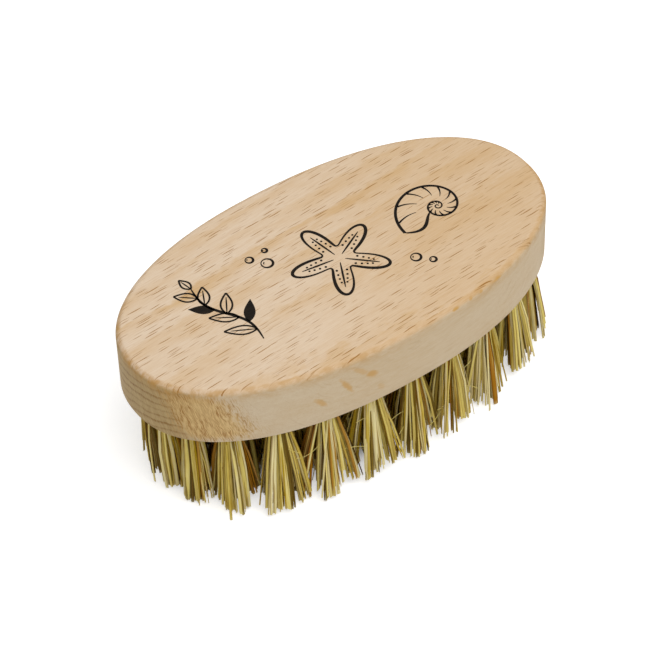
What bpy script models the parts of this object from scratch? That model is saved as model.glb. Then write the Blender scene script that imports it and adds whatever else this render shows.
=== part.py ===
"""Oval mussel brush: a beech block, drilled from below, and tufts of stiff plant fibre.

Each tuft is one bundle of fibre, folded in half over a flat wire anchor and driven into
its own blind hole, where the two ends of the wire bite into the wood.
Lengths are in metres, +Z is up. The trimmed bristle tips stand on z = 0, the block is
centred over the origin and its long side runs along X.
"""

import math

import bmesh
import bpy
import numpy as np

# Block
BLOCK_LENGTH = 0.120
BLOCK_WIDTH = 0.0634
BLOCK_THICKNESS = 0.018
OUTLINE_POWER = 2.21          # 2 is an ellipse, more is fuller at the corners
TOP_ROUNDING = 0.0018
BOTTOM_BREAK = 0.0006

# Holes
HOLE_DIAMETER = 0.005
WOOD_OVER_HOLES = 0.007       # left between the holes' floors and the top face
EDGE_WALL = 0.0035            # between the outer row of holes and the block's side
TUFTS_IN_ROWS = (23, 16, 12)  # closed rows, from the outer one inwards
FIRST_IN_ROWS = (0.5, 0, 0)   # each row's first tuft, in pitches from the row's left tip
LEFT_PITCH = 0.6              # the outer row's pitch at its left end, against the rest
CROWDING_START = 0.7          # where that crowding begins, as a share of the half length

# Wire anchors
WIRE_THICKNESS = 0.0004
WIRE_HEIGHT = 0.0022
WIRE_BITE = 0.0006            # how far each end reaches into the wood
FOLD_HEIGHT = 0.0012          # fibre between the wire and the hole's floor

# Bristles
BRISTLE_LENGTH = 0.029        # from the block's underside to the longest tips
TRIM_UNEVENNESS = 0.0025      # the shortest bristle ends this far above the longest
FLAT_CUT = 0.0005             # taken off the longest, so that the brush stands on them
FAN_RADIUS = 0.0055           # of a tuft's spread at its tips, where it has the room
TIP_SPLAY = 1.02              # the tips' pattern, against the pattern of the holes
STRAND_FILL = 0.6             # how much of its tuft's spread each strand's width takes up

CLEARANCE = 0.0003            # between a tuft and the wood, and between two tufts

# Fineness of the round shapes
OUTLINE_SIDES = 84
ROUNDING_STEPS = 4
ROW_SAMPLES = 1440
HALF_RING_SIDES = 6           # points on half of a hole's rim, wire end to wire end
STRANDS_SKIPPED = 4           # one cell in this many is left without a bristle

underside = BRISTLE_LENGTH
top = BRISTLE_LENGTH + BLOCK_THICKNESS
hole_radius = HOLE_DIAMETER / 2
hole_floor = top - WOOD_OVER_HOLES
root_radius = hole_radius - CLEARANCE
root_top = hole_floor - CLEARANCE
edge_inset = EDGE_WALL + hole_radius
golden = (math.sqrt(5) - 1) / 2


def clear_scene():
    for old in list(bpy.data.objects):
        bpy.data.objects.remove(old, do_unlink=True)


def make_material(name, colour, roughness):
    material = bpy.data.materials.new(name)
    material.use_nodes = True
    shader = material.node_tree.nodes["Principled BSDF"]
    shader.inputs["Base Color"].default_value = (*colour, 1.0)
    shader.inputs["Roughness"].default_value = roughness
    shader.inputs["Metallic"].default_value = 0.0
    return material


def add_object(name, shape, location, material=None):
    shape.normal_update()
    mesh = bpy.data.meshes.new(name)
    shape.to_mesh(mesh)
    shape.free()
    made = bpy.data.objects.new(name, mesh)
    made.location = location
    made.parent = frame_empty
    bpy.context.collection.objects.link(made)
    if material is not None:
        mesh.materials.append(material)
    return made


def superellipse(half_length, half_width, angles):
    """Points of |x/a|^p + |y/b|^p = 1, with p the outline's power."""
    cosine = np.cos(angles)
    sine = np.sin(angles)
    x = half_length * np.sign(cosine) * np.abs(cosine) ** (2 / OUTLINE_POWER)
    y = half_width * np.sign(sine) * np.abs(sine) ** (2 / OUTLINE_POWER)
    return x, y


def join_rings(shape, lower, upper):
    """Close the wall between two rings that have as many points."""
    walls = []
    for i in range(len(lower)):
        after = (i + 1) % len(lower)
        walls.append(shape.faces.new((lower[i], lower[after], upper[after], upper[i])))
    return walls


def block_profile():
    """(inset, height) up the block's side: broken lower edge, side, rounded top edge."""
    steps = np.linspace(0, math.pi / 2, ROUNDING_STEPS + 1)
    lower = [(BOTTOM_BREAK, underside), (0.0, underside + BOTTOM_BREAK)]
    upper = [
        (TOP_ROUNDING * (1 - math.cos(t)), top - TOP_ROUNDING * (1 - math.sin(t)))
        for t in steps
    ]
    return lower + upper


def build_block(material):
    angles = np.linspace(0, 2 * math.pi, OUTLINE_SIDES, endpoint=False)
    shape = bmesh.new()
    rings = []
    for inset, height in block_profile():
        x, y = superellipse(BLOCK_LENGTH / 2 - inset, BLOCK_WIDTH / 2 - inset, angles)
        rings.append([shape.verts.new((px, py, height)) for px, py in zip(x, y)])
    for lower, upper in zip(rings, rings[1:]):
        join_rings(shape, lower, upper)
    shape.faces.new(rings[-1])
    shape.faces.new(reversed(rings[0]))
    block = add_object("block", shape, (0, 0, 0), material)
    block.data.shade_smooth()
    block.data.set_sharp_from_angle(angle=math.radians(30))
    return block


def row_places(row):
    """Hole centres of one closed row.

    Its length is summed along the row, each stretch divided by the relative pitch there,
    and the holes stand at equal steps of that sum. The rows lie evenly across the width.
    """
    outer_length = BLOCK_LENGTH / 2 - edge_inset
    outer_width = BLOCK_WIDTH / 2 - edge_inset
    row_step = outer_width / (len(TUFTS_IN_ROWS) - 0.5)
    half_length = outer_length - row * row_step
    half_width = outer_width - row * row_step
    x, y = superellipse(half_length, half_width, np.linspace(-math.pi, math.pi, ROW_SAMPLES + 1))
    step = np.hypot(np.diff(x), np.diff(y))
    middle = (x[1:] + x[:-1]) / 2
    crowded = np.clip((-middle / outer_length - CROWDING_START) / (1 - CROWDING_START), 0, 1)
    crowded = crowded ** 2 * (3 - 2 * crowded)
    pitch = 1 - (1 - LEFT_PITCH) * crowded
    passed = np.concatenate(([0.0], np.cumsum(step / pitch)))
    count = TUFTS_IN_ROWS[row]
    stops = (np.arange(count) + FIRST_IN_ROWS[row]) * passed[-1] / count
    return np.column_stack((np.interp(stops, passed, x), np.interp(stops, passed, y)))


def root_ring(radius, wire_half):
    """Angles of a round root's points: a narrow flat faces each end of the wire."""
    wire_angle = math.asin(wire_half / radius)
    half = np.linspace(wire_angle, math.pi - wire_angle, HALF_RING_SIDES)
    return np.concatenate((half, half + math.pi))


def build_root(shape, centre, radius, low, high, grown):
    """A round body with the two ends of its wire anchor; returns its lower ring.

    grown is added all round to the wire, for the slot that takes it.
    """
    wire_half = WIRE_THICKNESS / 2 + grown
    flat_half = wire_half + CLEARANCE / 2
    angles = root_ring(radius, flat_half)
    x = centre[0] + radius * np.cos(angles)
    y = centre[1] + radius * np.sin(angles)
    lower = [shape.verts.new((px, py, low)) for px, py in zip(x, y)]
    upper = [shape.verts.new((px, py, high)) for px, py in zip(x, y)]
    walls = join_rings(shape, lower, upper)
    shape.faces.new(upper)
    wire_top = high - FOLD_HEIGHT
    wire_bottom = wire_top - WIRE_HEIGHT - 2 * grown
    reach = hole_radius + WIRE_BITE + grown
    flat = radius * math.cos(math.asin(flat_half / radius))
    for wall, side in ((walls[HALF_RING_SIDES - 1], -1), (walls[-1], 1)):
        bmesh.ops.inset_individual(shape, faces=[wall], thickness=CLEARANCE / 4)
        for vert in wall.verts:
            upper_half = vert.co.z > (low + high) / 2
            vert.co.z = wire_top if upper_half else wire_bottom
            vert.co.x = centre[0] + side * flat
            vert.co.y = centre[1] + math.copysign(wire_half, vert.co.y - centre[1])
        end = bmesh.ops.extrude_discrete_faces(shape, faces=[wall])["faces"][0]
        for vert in end.verts:
            vert.co.x = centre[0] + side * reach
    return lower


def drill_block(block, places):
    """One cutter holds every hole and the slots of its wire."""
    shape = bmesh.new()
    for place in places:
        lower = build_root(shape, place, hole_radius, underside - BOTTOM_BREAK, hole_floor, CLEARANCE)
        shape.faces.new(reversed(lower))
    cutter = add_object("hole_cutter", shape, (0, 0, 0))
    cutter.hide_render = True
    cutter.display_type = "WIRE"
    drill = block.modifiers.new("holes", "BOOLEAN")
    drill.operation = "DIFFERENCE"
    drill.solver = "EXACT"
    drill.object = cutter


def fan_rooms(tips):
    """How far each tuft may spread: to halfway to the nearest other tuft's tips."""
    apart = np.linalg.norm(tips[:, None] - tips[None], axis=2)
    np.fill_diagonal(apart, np.inf)
    return np.minimum(FAN_RADIUS, (apart.min(axis=1) - CLEARANCE) / 2)


def mouth_cells(shape, ring):
    """Divide the root's lower face into triangles; returns every other one.

    A middle point is joined to six points at half the radius, and these to the twelve
    of the ring. Of any two triangles that share an edge, one is returned.
    """
    middle = sum((vert.co for vert in ring), ring[0].co * 0) / len(ring)
    centre = shape.verts.new(middle)
    inner = [shape.verts.new(middle + (vert.co - middle) / 2) for vert in ring[::2]]
    chosen = []
    for i, vert in enumerate(inner):
        after = inner[(i + 1) % len(inner)]
        before = ring[2 * i - 1]
        own = ring[2 * i]
        beyond = ring[2 * i + 1]
        cells = ((vert, own, before), (vert, beyond, own), (vert, after, beyond), (centre, after, vert))
        for place, corners in enumerate(cells):
            face = shape.faces.new(corners)
            if (place + i) % 2 == 0:
                chosen.append(face)
    return chosen


def build_tuft(name, number, place, tip, room, material):
    """The folded root in its hole and the bristles that fan out below it.

    Where a bristle leaves the root sets its slant, so the bristles spread like the ribs
    of a fan and never cross, however long each one is. A bristle here stands for a few
    of the real fibres, so it widens as they part.
    """
    shape = bmesh.new()
    ring = build_root(shape, (0, 0), root_radius, 0.0, root_top - underside, 0.0)
    cells = mouth_cells(shape, ring)
    rooted = [face for k, face in enumerate(cells) if (k + number) % STRANDS_SKIPPED]
    tips = bmesh.ops.extrude_discrete_faces(shape, faces=rooted)["faces"]
    spread = room / root_radius - 1
    for k, face in enumerate(tips):
        share = ((number * len(cells) + k) * golden) % 1.0
        height = max(0.0, share * (TRIM_UNEVENNESS + FLAT_CUT) - FLAT_CUT)
        depth = underside - height
        part_way = depth / BRISTLE_LENGTH
        start = face.calc_center_median()
        shift_x = (start.x * spread + tip[0] - place[0]) * part_way
        shift_y = (start.y * spread + tip[1] - place[1]) * part_way
        widening = 1 + spread * STRAND_FILL * part_way
        for vert in face.verts:
            vert.co.x = start.x + (vert.co.x - start.x) * widening + shift_x
            vert.co.y = start.y + (vert.co.y - start.y) * widening + shift_y
            vert.co.z = -depth
    return add_object(name, shape, (place[0], place[1], underside), material)


clear_scene()
frame_empty = bpy.data.objects.new("brush", None)
bpy.context.collection.objects.link(frame_empty)

beech = make_material("beech", (0.72, 0.56, 0.39), 0.55)
fibre = make_material("fibre", (0.40, 0.31, 0.13), 0.65)

row_names = ["outer_tuft", "middle_tuft", "inner_tuft"]
rows = [row_places(row) for row in range(len(TUFTS_IN_ROWS))]
all_places = np.concatenate(rows)
all_tips = all_places * TIP_SPLAY
all_rooms = fan_rooms(all_tips)

block_object = build_block(beech)
drill_block(block_object, all_places)

tuft_number = 0
for row, places in enumerate(rows):
    for in_row, _ in enumerate(places, start=1):
        build_tuft(
            f"{row_names[row]}_{in_row:02d}",
            tuft_number,
            all_places[tuft_number],
            all_tips[tuft_number],
            all_rooms[tuft_number],
            fibre,
        )
        tuft_number += 1

apart = np.linalg.norm(all_places[:, None] - all_places[None], axis=2)
np.fill_diagonal(apart, np.inf)
print("tufts in each row:", [len(places) for places in rows])
print("thinnest wood between two holes, mm:", round((apart.min() - HOLE_DIAMETER) * 1000, 2))
print("narrowest fan radius, mm:", round(float(all_rooms.min()) * 1000, 2))
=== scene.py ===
# %% [markdown]
# # An oval scrubbing brush
#
# The real brush is a beech block, drilled from below, with tufts of stiff plant fibre.
# Each tuft is folded in half over a short flat wire and driven into its hole. This file
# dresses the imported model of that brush: it gives the block a fine surface and real wood,
# and every tuft its single fibres. All lengths are in metres unless a name says mm, the
# bristles point down to z = 0, and the block's long side runs along X.

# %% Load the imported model
import math

import bpy
import numpy as np
from mathutils import Matrix, Vector


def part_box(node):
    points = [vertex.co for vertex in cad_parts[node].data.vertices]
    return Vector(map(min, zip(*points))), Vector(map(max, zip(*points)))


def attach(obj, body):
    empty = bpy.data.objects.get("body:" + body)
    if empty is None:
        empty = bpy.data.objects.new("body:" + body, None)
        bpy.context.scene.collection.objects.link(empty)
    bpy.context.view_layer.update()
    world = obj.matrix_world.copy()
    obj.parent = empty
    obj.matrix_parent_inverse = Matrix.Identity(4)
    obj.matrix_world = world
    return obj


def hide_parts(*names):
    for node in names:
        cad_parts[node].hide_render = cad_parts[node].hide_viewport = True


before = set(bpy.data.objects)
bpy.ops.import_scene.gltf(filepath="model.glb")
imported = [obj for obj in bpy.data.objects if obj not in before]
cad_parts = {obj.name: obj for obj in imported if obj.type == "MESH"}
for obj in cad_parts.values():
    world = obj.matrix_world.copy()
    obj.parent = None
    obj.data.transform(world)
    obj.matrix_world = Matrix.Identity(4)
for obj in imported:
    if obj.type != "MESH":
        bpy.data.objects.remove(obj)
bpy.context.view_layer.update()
MM = 0.001

# %% [markdown]
# ## What the imported model says
#
# Every new piece stands where the imported one stands, so its sizes are read from there and
# not typed again. A tuft's root is a round plug whose upper ring is centred on the hole.

# %% Read the block's faces and the holes' places
def node_points(name):
    """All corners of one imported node, as rows of x, y and z."""
    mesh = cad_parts[name].data
    points = np.empty(len(mesh.vertices) * 3)
    mesh.vertices.foreach_get("co", points)
    return points.reshape(-1, 3)


def middle_of(points):
    """Halfway between the lowest and the highest x and y."""
    return (points[:, :2].min(axis=0) + points[:, :2].max(axis=0)) / 2


block_low, block_high = (np.array(corner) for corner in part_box("block"))
underside = block_low[2]
top = block_high[2]
tuft_names = sorted(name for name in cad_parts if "_tuft_" in name)
roots = [node_points(name) for name in tuft_names]
root_top = roots[0][:, 2].max()
hole_places = np.array([middle_of(root[root[:, 2] > root_top - 0.01 * MM]) for root in roots])
print("tufts:", len(tuft_names), "underside, root top, top in mm:",
      [round(float(z) / MM, 2) for z in (underside, root_top, top)])

# %% [markdown]
# ## Meshes from arrays
#
# Nearly every piece here is a tube of some kind: rings of points, joined by four-sided
# faces. The rings are worked out as one array, so a few lines of numpy make thousands of
# points without a loop, and the same helper turns them all into a mesh.

# %% Helpers for meshes
def ring_faces(rings, sides):
    """Four-sided faces between neighbouring rings; the last point joins the first."""
    ring, side = np.meshgrid(np.arange(rings - 1), np.arange(sides), indexing="ij")
    after = (side + 1) % sides
    corners = (ring * sides + side, ring * sides + after, (ring + 1) * sides + after, (ring + 1) * sides + side)
    return np.stack(corners, axis=-1).reshape(-1, 4)


def tube_faces(rings, sides):
    """The wall of a closed tube and its two end caps, as lists of corners."""
    first = np.arange(sides)[::-1]
    last = np.arange(sides) + (rings - 1) * sides
    return ring_faces(rings, sides), np.stack((first, last))


def many_tubes(points):
    """Faces of tubes that lie one after the other in an array (tube, ring, side, xyz)."""
    count, rings, sides = points.shape[:3]
    wall, caps = tube_faces(rings, sides)
    starts = (np.arange(count) * rings * sides)[:, None, None]
    return (wall + starts).reshape(-1, 4).tolist() + (caps + starts).reshape(-1, sides).tolist()


def make_piece(name, points, faces, material, sharp_degrees=40):
    """A finished piece: its object sits at the origin and its place is in its mesh."""
    mesh = bpy.data.meshes.new(name)
    mesh.from_pydata(points.reshape(-1, 3).tolist(), [], faces)
    mesh.polygons.foreach_set("use_smooth", np.ones(len(mesh.polygons), bool))
    mesh.set_sharp_from_angle(angle=math.radians(sharp_degrees))
    mesh.materials.append(material)
    piece = bpy.data.objects.new(name, mesh)
    bpy.context.scene.collection.objects.link(piece)
    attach(piece, "root")
    return piece


def add_values(piece, name, values, kind="FLOAT", domain="POINT"):
    """Store one number, or one vector, for each point or corner of a mesh."""
    attribute = piece.data.attributes.new(name, kind, domain)
    field = "vector" if kind == "FLOAT_VECTOR" else "value"
    attribute.data.foreach_set(field, np.asarray(values, np.float32).ravel())


def smooth_step(value, low, high):
    """0 below low and 1 above high, with a soft S between them."""
    share = np.clip((value - low) / (high - low), 0, 1)
    return share * share * (3 - 2 * share)


print("helpers ready; a tube of 4 rings of 6 has", sum(len(part) for part in tube_faces(4, 6)), "faces")

# %% [markdown]
# ## Materials from nodes
#
# A material is a small network. These helpers add a node and wire it in one line, so that
# a network reads like a formula.

# %% Helpers for materials
def add_node(tree, kind, inputs=None, **settings):
    """A shader node; each input is given a plain value or another node's output."""
    made = tree.nodes.new("ShaderNode" + kind)
    for name, value in settings.items():
        setattr(made, name, value)
    for key, value in (inputs or {}).items():
        if isinstance(value, bpy.types.NodeSocket):
            tree.links.new(value, made.inputs[key])
        else:
            made.inputs[key].default_value = value
    return made


def calculate(tree, operation, *values):
    """One Math node."""
    return add_node(tree, "Math", dict(enumerate(values)), operation=operation).outputs[0]


def soft_mask(tree, value, low, high, lowest=0.0, highest=1.0):
    """An S-shaped step of a value, from lowest below low to highest above high."""
    inputs = {"Value": value, "From Min": low, "From Max": high, "To Min": lowest, "To Max": highest}
    return add_node(tree, "MapRange", inputs, interpolation_type="SMOOTHSTEP").outputs[0]


def tint(tree, share, first, second, mode="MIX"):
    """Blend two colours; share 0 is the first one."""
    inputs = {0: share, 6: first, 7: second}
    return add_node(tree, "Mix", inputs, data_type="RGBA", blend_type=mode).outputs[2]


def paint(red, green, blue):
    """A colour in linear light, from the 0 to 255 numbers that a paint program shows."""
    shares = np.array((red, green, blue)) / 255
    linear = np.where(shares <= 0.04045, shares / 12.92, ((shares + 0.055) / 1.055) ** 2.4)
    return (*(float(part) for part in linear), 1.0)


def new_material(name, roughness, specular=0.3):
    """A material whose plain numbers are set on the Principled BSDF itself."""
    material = bpy.data.materials.new(name)
    material.use_nodes = True
    shader = material.node_tree.nodes["Principled BSDF"]
    shader.inputs["Roughness"].default_value = roughness
    shader.inputs["Specular IOR Level"].default_value = specular
    return material, material.node_tree, shader


print("paint(255, 255, 255) is", paint(255, 255, 255))

# %% [markdown]
# ## One grain for wood, fibre, wire and ink
#
# Wood pores, the lines along a fibre, the drawing lines on a wire and the wood that
# shows through ink are the same effect at other sizes: noise stretched along one
# direction. So it is one node group, with the length and the width of its lines as
# inputs, placed in each material with its own values.

# %% The grain group
def make_grain_group():
    """Noise of the place divided by (length, width, width), sharpened about its middle."""
    group = bpy.data.node_groups.new("grain", "ShaderNodeTree")
    sockets = group.interface
    sockets.new_socket("Place", in_out="INPUT", socket_type="NodeSocketVector")
    for name, value in (("Length", 3.0), ("Width", 0.2), ("Softness", 0.25), ("Detail", 3.0)):
        socket = sockets.new_socket(name, in_out="INPUT", socket_type="NodeSocketFloat")
        socket.default_value = value
    sockets.new_socket("Lines", in_out="OUTPUT", socket_type="NodeSocketFloat")
    given = group.nodes.new("NodeGroupInput")
    size = add_node(group, "CombineXYZ", {0: given.outputs["Length"], 1: given.outputs["Width"],
                                          2: given.outputs["Width"]}).outputs[0]
    scaled = add_node(group, "VectorMath", {0: given.outputs["Place"], 1: size}, operation="DIVIDE").outputs[0]
    noise = add_node(group, "TexNoise", {"Vector": scaled, "Scale": 1.0, "Detail": given.outputs["Detail"],
                                         "Roughness": 0.6})
    low = calculate(group, "SUBTRACT", 0.5, given.outputs["Softness"])
    high = calculate(group, "ADD", 0.5, given.outputs["Softness"])
    lines = soft_mask(group, noise.outputs[0], low, high)
    put_out = group.nodes.new("NodeGroupOutput")
    group.links.new(lines, put_out.inputs["Lines"])
    return group


grain_group = make_grain_group()


def grain(tree, place, length, width, softness=0.25, detail=3.0):
    """The grain group in a material, with its own sizes."""
    inputs = {"Place": place, "Length": length, "Width": width, "Softness": softness, "Detail": detail}
    made = tree.nodes.new("ShaderNodeGroup")
    made.node_tree = grain_group
    for key, value in inputs.items():
        if isinstance(value, bpy.types.NodeSocket):
            tree.links.new(value, made.inputs[key])
        else:
            made.inputs[key].default_value = value
    return made.outputs["Lines"]


print("grain group sockets:", [item.name for item in grain_group.interface.items_tree])

# %% [markdown]
# ## The camera
#
# A long lens, far back, keeps the oval's two long sides nearly parallel. The camera looks
# down on the block at 47 degrees, from its left front. It comes first, so that every
# later step can be judged in the view that matters most.

# %% Place the camera
CAMERA_AZIMUTH = -33.436
CAMERA_ELEVATION = 46.708
CAMERA_ROLL = -1.958
CAMERA_DISTANCE = 0.7237
CAMERA_LENS_MM = 161.94
CAMERA_TARGET = (-0.01486, -0.02037)


def place_camera():
    """Back is the direction from the target to the camera; right is level, then rolled."""
    azimuth, elevation, roll = (math.radians(a) for a in (CAMERA_AZIMUTH, CAMERA_ELEVATION, CAMERA_ROLL))
    back = Vector((math.sin(azimuth) * math.cos(elevation), -math.cos(azimuth) * math.cos(elevation),
                   math.sin(elevation)))
    right = Vector((0, 0, 1)).cross(back).normalized()
    up = back.cross(right)
    rolled_right = math.cos(roll) * right + math.sin(roll) * up
    rolled_up = -math.sin(roll) * right + math.cos(roll) * up
    data = bpy.data.cameras.new("camera")
    data.lens = CAMERA_LENS_MM
    data.sensor_width = 36.0
    camera = bpy.data.objects.new("camera", data)
    turned = Matrix((rolled_right, rolled_up, back)).transposed().to_4x4()
    turned.translation = Vector((*CAMERA_TARGET, top)) + back * CAMERA_DISTANCE
    camera.matrix_world = turned
    bpy.context.scene.collection.objects.link(camera)
    bpy.context.scene.camera = camera
    return camera


camera = place_camera()
print("camera stands at", [round(value, 3) for value in camera.location])

# %% [markdown]
# ## The block
#
# The real block is sawn from a beech board, turned to an oval on a copying lathe, its
# upper edge rounded and its lower edge lightly broken, and it is drilled from below. Its
# outline isn't an ellipse: it is a little fuller at the corners, which one number, the
# power of a superellipse, describes. So the block is one surface of two parameters, the
# way round and the way up its profile. The holes are then cut with a Boolean, as a drill
# would cut them.

# %% Outline and profile of the block
OUTLINE_POWER = 2.21
TOP_ROUNDING = 1.8 * MM
BOTTOM_BREAK = 0.6 * MM
FLAT_RIM = 0.25 * MM
BLOCK_SIDES = 288
half_length, half_width = block_high[:2]


def outline(inset, angle):
    """Points of |x/a|^p + |y/b|^p = 1, with a and b shortened by the inset."""
    cosine, sine = np.cos(angle), np.sin(angle)
    x = (half_length - inset) * np.sign(cosine) * np.abs(cosine) ** (2 / OUTLINE_POWER)
    y = (half_width - inset) * np.sign(sine) * np.abs(sine) ** (2 / OUTLINE_POWER)
    return x, y


def block_profile():
    """Inset and height, from the underside up: flat, broken edge, side, rounding, flat."""
    turn = np.linspace(0, math.pi / 2, 11)
    short_turn = np.linspace(0, math.pi / 2, 5)
    lower = np.column_stack((BOTTOM_BREAK * (1 - np.sin(short_turn)), underside + BOTTOM_BREAK * (1 - np.cos(short_turn))))
    side = np.column_stack((np.zeros(5), np.linspace(underside + BOTTOM_BREAK, top - TOP_ROUNDING, 7)[1:-1]))
    upper = np.column_stack((TOP_ROUNDING * (1 - np.cos(turn)), top - TOP_ROUNDING * (1 - np.sin(turn))))
    flat_below = [[BOTTOM_BREAK + FLAT_RIM, underside]]
    flat_above = [[TOP_ROUNDING + FLAT_RIM, top]]
    return np.concatenate((flat_below, lower, side, upper, flat_above))


profile = block_profile()
print("block profile has", len(profile), "rings of", BLOCK_SIDES)

# %% [markdown]
# The flat rims next to the two edges matter. A smooth edge tilts the normals of the
# points it shares with the flat face, and that tilt would spread over the whole flat. A
# narrow flat ring beside the edge stops it there.

# %% Build and drill the block
HOLE_RADIUS = 2.5 * MM
HOLE_SIDES = 28
HOLE_FLOOR_GAP = 0.3 * MM


def block_points():
    """The profile's rings, each an outline of its own inset at its own height."""
    angle = np.linspace(0, 2 * math.pi, BLOCK_SIDES, endpoint=False)
    x, y = outline(profile[:, 0, None], angle[None])
    height = np.broadcast_to(profile[:, 1, None], x.shape)
    return np.stack((x, y, height), axis=-1)


def hole_points():
    """One closed cylinder for each hole: centre plus radius times cosine and sine."""
    angle = np.linspace(0, 2 * math.pi, HOLE_SIDES, endpoint=False)
    height = np.array((underside - 1 * MM, root_top + HOLE_FLOOR_GAP))
    points = np.empty((len(hole_places), 2, HOLE_SIDES, 3))
    points[..., 0] = hole_places[:, None, None, 0] + HOLE_RADIUS * np.cos(angle)
    points[..., 1] = hole_places[:, None, None, 1] + HOLE_RADIUS * np.sin(angle)
    points[..., 2] = height[None, :, None]
    return points


def drill(piece, cutter_points):
    """Cut the holes out of the block and keep the result as its mesh."""
    mesh = bpy.data.meshes.new("drill")
    mesh.from_pydata(cutter_points.reshape(-1, 3).tolist(), [], many_tubes(cutter_points))
    cutter = bpy.data.objects.new("drill", mesh)
    bpy.context.scene.collection.objects.link(cutter)
    cut = piece.modifiers.new("holes", "BOOLEAN")
    cut.operation = "DIFFERENCE"
    cut.solver = "EXACT"
    cut.object = cutter
    drilled = bpy.data.meshes.new_from_object(piece.evaluated_get(bpy.context.evaluated_depsgraph_get()))
    piece.modifiers.clear()
    piece.data = drilled
    drilled.name = piece.name
    drilled.set_sharp_from_angle(angle=math.radians(40))
    bpy.data.objects.remove(cutter)


beech, beech_tree, beech_shader = new_material("beech", 0.6, 0.25)
block_rings = block_points()
wall, caps = tube_faces(*block_rings.shape[:2])
block = make_piece("beech_block", block_rings, wall.tolist() + caps.tolist(), beech)
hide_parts("block")
drill(block, hole_points())
print("drilled block has", len(block.data.polygons), "faces")

# %% [markdown]
# ## Where the wood looks different
#
# Beech is pale along the grain and darker on its end grain, which drinks in the light.
# The shader has to know which way the surface faces, so the x part of each corner's
# normal is stored as a value. A second value is high on the rounded upper edge, where
# sanding and handling have left a golden tone. A third marks the slanting stretches of
# the side where the cutter ran against the grain: it turns the same way all round the
# oval, so they lie across from each other, and there the fibres are torn a little.

# %% Store the direction of the grain and the rim
TORN_SHIFT = 0.16
TORN_AT_EDGES = 0.35


def store_directions(piece):
    """end_grain is |x| of the normal, up is its z, rim peaks on the rounded edge.

    torn is high where |x| is middling and x and y of the normal have the same sign. It
    lies further from the ends the lower it is, and fades towards both edges of the side.
    """
    mesh = piece.data
    normals = np.empty(len(mesh.loops) * 3, np.float32)
    mesh.corner_normals.foreach_get("vector", normals)
    normals = normals.reshape(-1, 3)
    corners = np.empty(len(mesh.loops), np.int32)
    mesh.loops.foreach_get("vertex_index", corners)
    points = np.empty(len(mesh.vertices) * 3)
    mesh.vertices.foreach_get("co", points)
    height = points.reshape(-1, 3)[corners, 2]
    near_top = smooth_step(height, top - 2.2 * TOP_ROUNDING, top - 0.3 * TOP_ROUNDING)
    facing = np.abs(normals[:, 0])
    against_grain = smooth_step(normals[:, 0] * normals[:, 1], 0.0, 0.2)
    shifted = facing + TORN_SHIFT * (0.4 - (height - underside) / (top - underside))
    off_edges = smooth_step(height, underside, underside + 4 * MM)
    off_edges *= 1 - smooth_step(height, top - 3 * MM, top - 1.2 * MM)
    torn = smooth_step(shifted, 0.34, 0.60) * (1 - smooth_step(shifted, 0.70, 0.95)) * against_grain
    torn *= TORN_AT_EDGES + (1 - TORN_AT_EDGES) * off_edges
    add_values(piece, "end_grain", facing, domain="CORNER")
    add_values(piece, "torn", torn, domain="CORNER")
    add_values(piece, "up", normals[:, 2], domain="CORNER")
    add_values(piece, "rim", near_top * (1 - smooth_step(normals[:, 2], 0.9, 1.0)), domain="CORNER")
    return normals


block_normals = store_directions(block)
print("end grain values run from", round(float(np.abs(block_normals[:, 0]).min()), 2), "to",
      round(float(np.abs(block_normals[:, 0]).max()), 2))

# %% [markdown]
# ## Beech as a solid
#
# Real grain isn't a picture on the surface: rings, rays and pores run through the wood,
# and each face cuts them another way. So the shader describes the log itself. It turns
# the place in the block into a place in the log: along the grain, round the rings and
# outwards. Growth rings are cylinders about the pith, tilted against the board, so they
# draw close lines on the ends and broad golden bands on top. Rays are thin plates that
# stand across the rings, so they are short brown dashes on top, fine upright lines on
# the ends and blotches on the sides. The near side also has a few brown stains. They
# follow no rule of the log, so each is a soft oval with a place of its own.

# %% Rings, rays and pores
GRAIN_TURN = math.radians(4)
RING_TILT = math.radians(18)
RING_SPACING_MM = 2.3
PITH_DEPTH_MM = 95.0
RAY_SPACING_MM = (8.0, 0.68, 22.0)
RAY_NARROWING = (0.9, 1.6, 0.45)
STAIN_SLANT = math.radians(-50)
FIGURE_LEAN = 0.22

PALE = paint(237, 217, 193)
GOLDEN = paint(214, 174, 118)
GRAIN_LINE = paint(196, 146, 84)
RAY_BROWN = paint(158, 106, 32)
SIDE_PAINTED_SHADE = paint(239, 242, 237)
SIDE_GOLD = paint(206, 170, 118)
END_WOOD = paint(191, 164, 113)
END_LINE = paint(134, 92, 32)
FIGURE_PALE = paint(224, 190, 128)
FIGURE_DARK = paint(158, 106, 32)
RIM_GOLD = paint(192, 144, 74)
STAIN = paint(206, 160, 92)

# Each stain's x, depth below the top, length and width in mm, its slope in degrees downhill
# and its strength. The last four lie on the rounded edge.
NEAR_STAINS = ((-14.0, 5.0, 8.0, 2.0, 45, 0.5), (-11.0, 7.5, 5.0, 3.0, 25, 0.85),
               (-18.0, 8.0, 8.0, 2.0, 60, 0.8), (-25.0, 10.5, 5.5, 2.0, 50, 0.7),
               (-8.5, 13.5, 3.5, 2.0, 50, 0.35), (14.5, 1.0, 3.0, 1.0, 0, 1.0),
               (19.5, 1.0, 1.5, 1.0, 0, 0.8), (23.0, 1.0, 1.5, 1.0, 0, 0.7),
               (29.0, 1.0, 3.5, 1.0, 0, 1.0))
STAIN_DEPTH_MM = 2.0


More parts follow.
